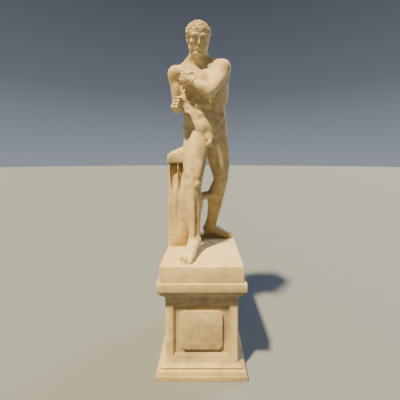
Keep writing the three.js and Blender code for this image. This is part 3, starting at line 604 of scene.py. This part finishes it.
def fist(centre, axes, size):
    """A closed fist: i towards the knuckles, j out of the back of the hand, k towards the thumb."""
    h, b, w = axes

    def at(i, j, k):
        return centre + (h * i + b * j + w * k) * size

    def bone(start, end, radius, blend):
        return spindle(start, end, (radius * size, radius * size), blend)

    forms = [block(at(-8, 8, 0), np.array((36, 26, 44)) * size, 18 * size, 8, axes)]
    for finger in range(4):
        k = -32 + 21 * finger
        forms += [
            bone(at(-24, 30, k * 0.8), at(20, 26, k), 5, 7),
            lump(at(26, 24, k), np.array((13, 9, 9)) * size, 6, axes),
            bone(at(18, 18, k), at(40, 2, k), 11, 4),
            bone(at(40, 2, k), at(22, -26, k), 11, 2.5),
            bone(at(22, -26, k), at(0, -22, k), 10.5, 2.5),
        ]
    forms += [
        bone(at(-30, 0, 44), at(6, -14, 50), 13, 8),
        bone(at(6, -14, 50), at(26, -34, 26), 11, 3),
        lump(at(28, -42, 22), np.array((7, 3, 7)) * size, 2, axes),
    ]
    return forms


def arm(limbs):
    side, size = limbs["side"], limbs["hand_size"]
    shoulder, elbow, wrist, hand = (limbs[k] for k in ("shoulder", "elbow", "wrist", "fist"))
    upper = Limb(shoulder, elbow, wrist - elbow, side)
    fore = Limb(elbow, wrist, shoulder - elbow, side)
    h = unit(hand - wrist)
    back = unit(limbs["back_of_hand"] - limbs["back_of_hand"] @ h * h)
    thumb = np.cross(h, back) * -side
    veins = [
        spindle(fore.at(0.2, 30, 16), fore.at(0.5, 36, 4), (4, 4), 8),
        spindle(fore.at(0.5, 36, 4), fore.at(0.8, 26, 8), (4, 3.5), 8),
    ]
    worn = strap(fore) if limbs is LEFT else []
    return [
        (24, [lump(shoulder, (66, 66, 70), 20), *muscles(upper, UPPER_ARM)]),
        (14, [*muscles(fore, FOREARM), lump(elbow, (40, 40, 40), 10), *veins, *worn]),
        (8, [
            spindle(wrist + h * 18, hand, (34 * size, 34 * size), 10),
            *fist(hand, [h, back, thumb], size),
        ]),
    ]


def strap_place(fore):
    """The strap's middle and the way across it, slightly askew."""
    return fore.at(0.9, 0, 0), unit(-fore.axis + V(-0.14, 0.02, -0.18))


def strap(fore):
    """A wound strap at the wrist: a raised band."""
    middle, lean = strap_place(fore)
    return [ring(middle, lean, 33, 6.5, 3, 17)]


def neck():
    forms = [spindle(trunk(2236, 0, -6), on_head(0, 34, -80), (82, 72, 66), 30)]
    for s in SIDES:
        forms.append(spindle(on_head(s * 62, 20, -48), trunk(2262, s * 18, 62), (18, 20, 14), 14))
    forms += [
        lump(on_head(0, -12, -126), (44, 30, 32), 26),
        lump(on_head(2, -8, -158), (14, 14, 18), 18),
    ]
    return 26, forms


def face():
    """A calm, regular face: eyes at half the head's height, nose and brow a third of the face apart."""
    forms = [
        lump(on_head(0, 14, 34), (78, 98, 88), 10),
        lump(on_head(0, -30, -16), (61, 62, 76), 24),
        lump(on_head(0, -62, 48), (58, 36, 46), 24),
        lump(on_head(0, -78, 22), (46, 18, 14), 18),
        lump(on_head(0, -70, -60), (38, 33, 32), 18),
        lump(on_head(0, -85, -101), (23, 18, 16), 14),
    ]
    for s in SIDES:
        def arc(a, middle, b, radii, blend):
            return strand(bend(*(on_head(s * x, y, z) for x, y, z in (a, middle, b))), radii, blend)

        forms += [
            spindle(on_head(s * 54, 6, -42), on_head(s * 18, -68, -99), (20, 18), 20),
            lump(on_head(s * 42, -36, -54), (21, 36, 36), 26),
            lump(on_head(s * 46, -58, -20), (22, 21, 17), 24),
            carve(lump(on_head(s * 30, -108, 6), (17, 17, 10), 16)),
            lump(on_head(s * 31, -81, 0), (14.5, 14, 13), 3),
            lump(on_head(s * 31, -82.5, 8.5), (17, 12.5, 7.5), 3),
            lump(on_head(s * 31, -80, -9), (17, 13, 7), 5),
            *arc((16, -87, -2), (28, -107, 15.5), (47, -83, -2), (2, 2.3, 2), 1.5),
            *arc((16, -87, -2.5), (32, -102.5, -13), (47, -83, -2.5), (1.6, 1.8, 1.6), 1.5),
            *carved(arc((17, -91, 7), (30, -102, 25), (50, -83, 7), (1.2, 1.6, 1.2), 4)),
            *arc((11, -97, 17), (32, -104, 36), (56, -76, 19), (4, 5.5, 4), 12),
            lump(on_head(s * 10.5, -101, -38), (6.8, 9, 6.5), 4),
            carve(spindle(on_head(s * 5.5, -111, -45), on_head(s * 7, -101, -44), (2.8, 2.8), 2)),
            *carved(arc((18, -100, -42), (28, -97, -50), (32, -90, -62), (2, 2.4, 2), 12)),
            *arc((0, -100.5, -61), (11, -103, -58.5), (25, -89, -66.5), (4, 4, 2), 4),
            *arc((0, -99, -75.5), (13, -99, -76.5), (23, -89, -69.5), (5.4, 5, 2.4), 4),
            *carved(arc((0, -105.5, -67.5), (15, -104.5, -69), (28, -90.5, -67.5), (2.4, 2.4, 2), 3)),
            lump(on_head(s * 78, 9, -3), (10, 19, 30), 6),
            carve(lump(on_head(s * 90, 4, 1), (4, 7, 13), 4)),
            ring(on_head(s * 84, 9, 6), unit(V(s * 1, -0.3, 0)), 16, 4, 3),
            lump(on_head(s * 80, 2, -26), (5, 8, 10), 4),
        ]
    forms += [
        spindle(on_head(0, -92, 15), on_head(0, -108, -30), (7.5, 9.5), 10),
        lump(on_head(0, -110, -34), (9, 9, 8.5), 5),
        carve(spindle(on_head(0, -106, -48), on_head(0, -107, -57), (2, 2.4), 4)),
        carve(lump(on_head(0, -107, -86), (17, 6, 5), 10)),
    ]
    return 16, posed_head(forms)


HAIR = dict(rows=10, lowest=math.radians(-34), around=26, curl=15.5, brow=math.radians(18),
            forehead=math.radians(60), ear=math.radians(2), temples=math.radians(104))


def hair():
    """Short curls in rows round the head, left off where the face, the temples and the ears are."""
    centre, radii = on_head(0, 14, 42), V(95, 110, 90)
    forms = [lump(centre, radii - 1, 8), carve(lump(on_head(0, -118, -30), (84, 96, 94), 6))]
    for row in range(HAIR["rows"]):
        rise = lerp(HAIR["lowest"], math.pi / 2, row / (HAIR["rows"] - 1))
        count = max(1, round(HAIR["around"] * math.cos(rise)))
        for i in range(count):
            turn = (i + (row % 2) / 2 + 0.12 * math.sin(i * 3.1 + row * 5.7)) / count * 2 * math.pi
            from_front = min(turn % (2 * math.pi), -turn % (2 * math.pi))
            if rise < HAIR["brow"] and from_front < HAIR["forehead"]:
                continue
            if rise < HAIR["ear"] and from_front < HAIR["temples"]:
                continue
            way = V(math.cos(rise) * math.sin(turn), -math.cos(rise) * math.cos(turn), math.sin(rise))
            spot = centre + way * radii * (1 + 0.012 * math.sin(i * 2.3 + row * 4.1))
            size = HAIR["curl"] * (1 + 0.12 * math.sin(i * 5.1 + row * 2.7))
            forms += curl(spot, unit(way / radii), size, i * 2.4 + row * 1.3, 1.2)
    return 4, posed_head(forms)


def stump():
    """The squared stump: flutes on its outer side and back, pockets and grain in front, a slanting top."""
    x, y, half_x, half_y = (STUMP[k] for k in ("x", "y", "half_x", "half_y"))
    top, head_top, proud = STUMP["flutes_top"], STUMP["head_top"], STUMP["proud"]
    front = y - half_y
    middle = (SLAB["top"] - 60 + head_top) / 2

    def hollow(px, py, low, radii):
        return carve(spindle(V(px, py, low), V(px, py, top), radii, 6))

    hollows = []
    for i, across in enumerate((-44, 8, 58)):
        hollows += [hollow(x - half_x - 12, y + across, 960 + 70 * i, (12, 24)),
                    hollow(x + across, y + half_y + 12, 1000 - 50 * i, (12, 26))]
    grain = carved(spindle(V(x + across, front - 2, low), V(x + across + 5, front - 2, high), (2, 5, 2), 12)
                   for across, low, high in ((-84, 820, 1180), (-30, 900, 1230)))
    pockets = carved(spindle(V(x + across, front - 8, low), V(x + across, front + 22, top + 30), radii, 2)
                     for across, radii, low in ((-65, (18, 32, 33), 1200), (-5, (14, 24, 25), 1185)))
    return 12, [
        block(V(x, y, middle), (half_x, half_y, head_top - middle), 26, 10), *pockets, *hollows, *grain,
        block(V(x, y, (top + head_top) / 2), (half_x + proud, half_y + proud, (head_top - top) / 2), 16, 2),
        carve_above(STUMP_CUT["at"], STUMP_CUT["normal"], 3),
    ]


def strut():
    return 14, [spindle(STRUT["start"], STRUT["end"], (STRUT["radius"],) * 2, 14)]


def figure():
    """The groups of forms in the order in which they join."""
    return [
        torso(), pubic_curls(), leg(RIGHT), leg(LEFT), neck(), face(), hair(), *arm(RIGHT), *arm(LEFT),
        stump(), strut(), cuts(),
    ]


# materials
def node_chain(material):
    """A function that adds a node, with its inputs linked to sockets or set to values."""
    nodes, links = material.node_tree.nodes, material.node_tree.links

    def add(kind, inputs=(), **settings):
        node = nodes.new("ShaderNode" + kind)
        for key, value in settings.items():
            setattr(node, key, value)
        for socket, value in dict(inputs).items():
            if hasattr(value, "is_output"):
                links.new(value, node.inputs[socket])
            else:
                node.inputs[socket].default_value = value
        return node

    return add


def ramp(add, factor, stops):
    """Colours or greys spread over a factor; each stop is a position and one or three channels."""
    node = add("ValToRGB", {"Fac": factor})
    elements = node.color_ramp.elements
    while len(elements) < len(stops):
        elements.new(0.5)
    for element, (position, colour) in zip(elements, stops):
        element.position = position
        element.color = (*colour, 1) if len(colour) == 3 else (colour[0],) * 3 + (1,)
    return node.outputs["Color"]


# The sockets that a Mix node uses for colours
MIX_FACTOR, MIX_A, MIX_B, MIX_RESULT = 0, 6, 7, 2


def mix(add, kind, factor, a, b):
    inputs = {MIX_FACTOR: factor}
    for socket, value in ((MIX_A, a), (MIX_B, b)):
        inputs[socket] = value if hasattr(value, "is_output") else (*value, 1)
    return add("Mix", inputs, data_type="RGBA", blend_type=kind).outputs[MIX_RESULT]


def travertine(name, pale, warm, deep, bedding, pits):
    """Stone in soft beds: cloudy warm tones, fine grain, small darker pits, painted shade with some dirt in
    hollows, paler worn edges.

    The bedding is how much the beds are flattened, and pits how dark the pits are.
    """
    material = bpy.data.materials.new(name)
    material.use_nodes = True
    material.node_tree.nodes.clear()
    add = node_chain(material)

    def product(a, b):
        return add("Math", {0: a, 1: b}, operation="MULTIPLY").outputs[0]

    def noise(vector, scale, detail=2.0, roughness=0.5):
        inputs = {"Vector": vector, "Scale": scale, "Detail": detail, "Roughness": roughness}
        return add("TexNoise", inputs).outputs

    place = add("TexCoord").outputs["Object"]
    sway = add("VectorMath", {0: noise(place, 1.7, 3.0)["Color"], "Scale": 0.22}, operation="SCALE")
    moved = add("VectorMath", {0: place, 1: sway.outputs[0]}, operation="ADD").outputs[0]
    slant = (0.07, 0.12, 0)
    flat = add("Mapping", {"Vector": moved, "Rotation": slant, "Scale": (1.0, 1.0, bedding)}).outputs[0]
    beds = noise(flat, 2.1, 5.0, 0.52)["Fac"]
    clouds = noise(moved, 3.0, 5.0, 0.6)["Fac"]
    mottle = noise(place, 17.0, 5.0, 0.62)["Fac"]
    grain = noise(place, 230.0, 3.0, 0.7)["Fac"]
    colour = ramp(add, beds, [(0.34, deep), (0.48, warm), (0.62, pale)])
    colour = mix(add, "MIX", ramp(add, clouds, [(0.36, (0.75,)), (0.64, (0.15,))]), colour, warm)
    colour = mix(add, "MULTIPLY", 0.75, colour, ramp(add, mottle, [(0.36, (0.66,)), (0.55, (1.0,))]))
    colour = mix(add, "MULTIPLY", 0.30, colour, ramp(add, grain, [(0.3, (0.72,)), (0.62, (1.0,))]))
    squashed = add("Mapping", {"Vector": moved, "Scale": (1.0, 1.0, 2.2)}).outputs[0]
    cells = add("TexVoronoi", {"Vector": squashed, "Scale": 95.0}, feature="F1").outputs["Distance"]
    where = ramp(add, beds, [(0.38, (1.0,)), (0.50, (0.12,))])
    sparse = ramp(add, noise(moved, 21.0)["Fac"], [(0.5, (0.0,)), (0.62, (1.0,))])
    pitting = product(product(ramp(add, cells, [(0.09, (1.0,)), (0.24, (0.0,))]), where), sparse)
    # A dark tone for the darker pits, and for the painted shade, with some dirt, in hollows.
    shade_and_dust = tuple(c * 0.42 for c in deep)
    colour = mix(add, "MIX", product(pitting, pits), colour, shade_and_dust)
    edge = add("NewGeometry").outputs["Pointiness"]
    # Painted shade: where the surface curves inwards, the colour goes towards the dark tone, as shade and
    # some dirt in hollows.
    colour = mix(add, "MIX", ramp(add, edge, [(0.40, (0.8,)), (0.49, (0.0,))]), colour, shade_and_dust)
    worn = tuple(min(1, c * 1.12) for c in pale)
    colour = mix(add, "MIX", ramp(add, edge, [(0.53, (0.0,)), (0.62, (0.6,))]), colour, worn)
    lumps = noise(place, 38.0, 5.0, 0.6)["Fac"]
    height = add("Math", {0: lumps, 1: product(grain, 0.25)}, operation="ADD").outputs[0]
    height = add("Math", {0: height, 1: product(pitting, -1.6)}, operation="ADD").outputs[0]
    bump = add("Bump", {"Height": height, "Strength": 0.35, "Distance": 0.0016})
    rough = add("MapRange", {"Value": clouds, "To Min": 0.6, "To Max": 0.82})
    shader = add("BsdfPrincipled", {"Base Color": colour, "Roughness": rough.outputs[0],
                                    "Normal": bump.outputs[0], "Specular IOR Level": 0.3})
    add("OutputMaterial", {"Surface": shader.outputs[0]})
    return material


STATUE_STONE = travertine("statue_travertine", pale=(0.62, 0.48, 0.27), warm=(0.55, 0.42, 0.22),
                          deep=(0.40, 0.29, 0.14), bedding=3.0, pits=0.8)
PEDESTAL_STONE = travertine("pedestal_travertine", pale=(0.56, 0.43, 0.235), warm=(0.46, 0.345, 0.18),
                            deep=(0.31, 0.225, 0.11), bedding=5.5, pits=0.9)


# meshes
FIGURE_TRIANGLES = 190000
FIGURE_CREASE, BLOCK_CREASE = math.radians(50), math.radians(32)
# Steps of the figure's grid: on the body, on the head, and on the hands and feet
STEPS, QUICK_STEPS = (3.0, 1.6, 2.2), (6.0, 4.0, 5.0)
GRID = dict(head_x=(-132, 64), fist_x=(-236, -150), head_y=(-168, 92), front_y=(-330, -168),
            back_y=(200, 300), head_z=(2300, 2580), feet_z=(736, 806), right_fist_z=(1826, 1936),
            left_fist_z=(2046, 2160), top=2590)
# Places and radii round which the figure keeps more of its triangles, and the share that it keeps elsewhere
DETAILS = ((HEAD, 160), (LEFT["fist"], 80), (RIGHT["fist"], 90), (RIGHT["toe"], 120), (LEFT["toe"], 120))
PLAIN_SHARE = 0.25
# The edges' widths in millimetres, their segments and the least angle that is rounded
STONE_EDGE, SLAB_EDGE, EDGE_SEGMENTS, EDGE_ANGLE = 1.1, 1.8, 3, math.radians(22)


def new_piece(name, mesh, node, material):
    piece = bpy.data.objects.new(name, mesh)
    bpy.context.scene.collection.objects.link(piece)
    piece.data.materials.clear()
    piece.data.materials.append(material)
    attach(piece, "root")
    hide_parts(node)
    return piece


def mesh_of(name, points, faces):
    mesh = bpy.data.meshes.new(name)
    mesh.from_pydata((points * MM).tolist(), [], faces.tolist())
    mesh.validate()
    return mesh


def apply_modifiers(piece):
    graph = bpy.context.evaluated_depsgraph_get()
    mesh = bpy.data.meshes.new_from_object(piece.evaluated_get(graph))
    piece.modifiers.clear()
    piece.data = mesh


def shade_smooth(piece, crease):
    piece.data.polygons.foreach_set("use_smooth", [True] * len(piece.data.polygons))
    piece.data.set_sharp_from_angle(angle=crease)


def carved_figure():
    """Points and quads of the figure, closer together on the head, the hands and the feet."""
    step, fine, hand = STEPS
    reach = max(SLAB["x"], SLAB["y"]) + 30

    def axis(low, high, head, *hands):
        ranges = [(*GRID[head], fine), *((*GRID[place], hand) for place in hands)]
        return grid_lines(low, high, step, ranges)

    lines = [
        axis(-reach, reach, "head_x", "fist_x"),
        axis(-reach, reach, "head_y", "front_y", "back_y"),
        axis(SLAB["top"] - 22, GRID["top"], "head_z", "feet_z", "right_fist_z", "left_fist_z"),
    ]
    field = sample(figure(), lines)
    field[:, :, 0] = 1  # closes the mesh inside the slab
    return surface(field, lines)


def build_statue():
    """The figure with its stump and strut, thinned out most where it is plain."""
    points, quads = carved_figure()
    mesh = mesh_of("statue_figure", points, quads)
    piece = new_piece("statue_figure", mesh, "athlete_statue", STATUE_STONE)
    detail = np.full(len(points), PLAIN_SHARE)
    for centre, radius in DETAILS:
        detail = np.maximum(detail, np.clip(1.6 - np.linalg.norm(points - centre, axis=1) / radius, 0, 1))
    levels = np.round(detail * 10) / 10
    weights = piece.vertex_groups.new(name="detail")
    for level in np.unique(levels):
        weights.add(np.flatnonzero(levels == level).tolist(), float(level), "REPLACE")
    reduce = piece.modifiers.new("reduce", "DECIMATE")
    reduce.ratio = min(1, FIGURE_TRIANGLES / (2 * len(quads)))
    reduce.vertex_group = "detail"
    reduce.invert_vertex_group = True
    reduce.vertex_group_factor = 1.0
    apply_modifiers(piece)
    shade_smooth(piece, FIGURE_CREASE)


def worn_block(name, node, mesh, material=PEDESTAL_STONE, width=STONE_EDGE):
    """A piece of squared stone with softened edges."""
    piece = new_piece(name, mesh, node, material)
    bevel = piece.modifiers.new("edges", "BEVEL")
    bevel.width = width * MM
    bevel.segments = EDGE_SEGMENTS
    bevel.limit_method = "ANGLE"
    bevel.angle_limit = EDGE_ANGLE
    bevel.harden_normals = False
    apply_modifiers(piece)
    shade_smooth(piece, BLOCK_CREASE)


# The die's half sides, how far its panels' faces are sunk, and how many times deeper they are cut
DIE = dict(half=(248.5, 337.5), panel_levels=(4.5, 9.0), deeper=1.7)
SAME_LEVEL = 0.1


def build_die():
    """The die's own shape with worn edges and its sunk panels cut deeper."""
    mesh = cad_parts["pedestal_die"].data.copy()
    shape = bmesh.new()
    shape.from_mesh(mesh)
    bmesh.ops.remove_doubles(shape, verts=shape.verts, dist=1e-6)
    bmesh.ops.dissolve_limit(shape, angle_limit=math.radians(0.5), verts=shape.verts, edges=shape.edges)
    for vert in shape.verts:
        for d, half in enumerate(DIE["half"]):
            sunk = half - abs(vert.co[d]) / MM
            if min(abs(sunk - level) for level in DIE["panel_levels"]) < SAME_LEVEL:
                vert.co[d] = math.copysign((half - sunk * DIE["deeper"]) * MM, vert.co[d])
    shape.to_mesh(mesh)
    shape.free()
    worn_block("pedestal_die_stone", "pedestal_die", mesh)


def quarter_round(low, high, steps=7):
    """Rows of a full quarter round between two corners of a profile."""
    angles = np.linspace(0, math.pi / 2, steps + 1)
    return [(lerp(low[0], high[0], math.sin(a)), lerp(low[1], high[1], 1 - math.cos(a))) for a in angles]


# Profiles of the pedestal's base and cap, in millimetres: level and inset, from the bottom up
CORNERS = ((1, -1), (1, 1), (-1, 1), (-1, -1))
BASE_HALF, CAP_HALF = (303.5, 392.5), (302, 390)
BASE_ROWS = [(0, 0), (30.5, 0), (34, 4.5), (41, 5), (41, 9.5), (44.5, 9.5),
             *quarter_round((44.5, 8), (57, 24)), (57, 37), (64, 37)]
CAP_ROWS = [(525.3, 44), (545, 44), (545, 24), (547, 22.5), (565, 20.5), (565, 13), (574, 12), (574, 6),
            (582, 4), (582, 0), (633, 0)]


def build_moulded(name, node, half, rows):
    """A block with the same moulding on all four sides; rows are levels and insets from the bottom up."""
    shape = bmesh.new()
    loops = []
    for level, inset in rows:
        x, y = half[0] - inset, half[1] - inset
        loops.append([shape.verts.new((a * x * MM, b * y * MM, level * MM)) for a, b in CORNERS])
    for below, above in zip(loops, loops[1:]):
        for i in range(4):
            j = (i + 1) % 4
            shape.faces.new((below[i], below[j], above[j], above[i]))
    shape.faces.new(loops[0][::-1])
    shape.faces.new(loops[-1])
    mesh = bpy.data.meshes.new(name)
    shape.to_mesh(mesh)
    shape.free()
    worn_block(name, node, mesh)


def build_slab():
    shape = bmesh.new()
    bmesh.ops.create_cube(shape, size=1)
    size = V(2 * SLAB["x"], 2 * SLAB["y"], SLAB["top"] - SLAB["low"]) * MM
    bmesh.ops.scale(shape, vec=size, verts=shape.verts)
    bmesh.ops.translate(shape, vec=(0, 0, (SLAB["top"] + SLAB["low"]) / 2 * MM), verts=shape.verts)
    mesh = bpy.data.meshes.new("statue_slab")
    shape.to_mesh(mesh)
    shape.free()
    worn_block("statue_slab", "athlete_statue", mesh, STATUE_STONE, SLAB_EDGE)


build_statue()
build_slab()
build_moulded("pedestal_base_stone", "pedestal_base", BASE_HALF, BASE_ROWS)
build_die()
build_moulded("pedestal_cap_stone", "pedestal_cap", CAP_HALF, CAP_ROWS)


# stage and light
def floor_disc(radius, colour, roughness):
    paint = bpy.data.materials.new("floor_paint")
    paint.use_nodes = True
    shader = paint.node_tree.nodes["Principled BSDF"]
    shader.inputs["Base Color"].default_value = (*colour, 1)
    shader.inputs["Roughness"].default_value = roughness
    bpy.ops.mesh.primitive_circle_add(vertices=96, radius=radius, fill_type="NGON")
    floor = bpy.context.object
    floor.name = "floor"
    floor.data.materials.append(paint)


def sky(low_sky, high_sky):
    """A plain surround: pale near the level of the floor, deeper overhead."""
    world = bpy.data.worlds.new("studio")
    world.use_nodes = True
    bpy.context.scene.world = world
    add = node_chain(world)
    rise = add("SeparateXYZ", {0: add("TexCoord").outputs["Generated"]}).outputs["Z"]
    between = tuple(a * 0.35 + b * 0.65 for a, b in zip(low_sky, high_sky))
    tone = ramp(add, rise, [(0.0, low_sky), (0.28, between), (0.7, high_sky)])
    world.node_tree.links.new(tone, world.node_tree.nodes["Background"].inputs["Color"])


def soft_sun(name, towards, strength, width, colour):
    """A lamp far off in the direction given, as wide in the sky as so many degrees."""
    data = bpy.data.lights.new(name, "SUN")
    data.energy, data.angle, data.color = strength, math.radians(width), colour
    light = bpy.data.objects.new(name, data)
    light.location = Vector(towards) * LAMP_AWAY
    light.rotation_euler = Vector(towards).to_track_quat("Z", "Y").to_euler()
    bpy.context.scene.collection.objects.link(light)


LAMP_AWAY = 6
floor_disc(60, (0.13, 0.146, 0.178), 0.9)
soft_sun("key", (-0.32, -0.36, 0.876), 15, 4.0, (1.0, 0.80, 0.42))
soft_sun("fill", (0.60, 0.55, 0.58), 2.5, 25, (0.8, 0.88, 1.0))
sky((0.28, 0.31, 0.36), (0.055, 0.064, 0.083))
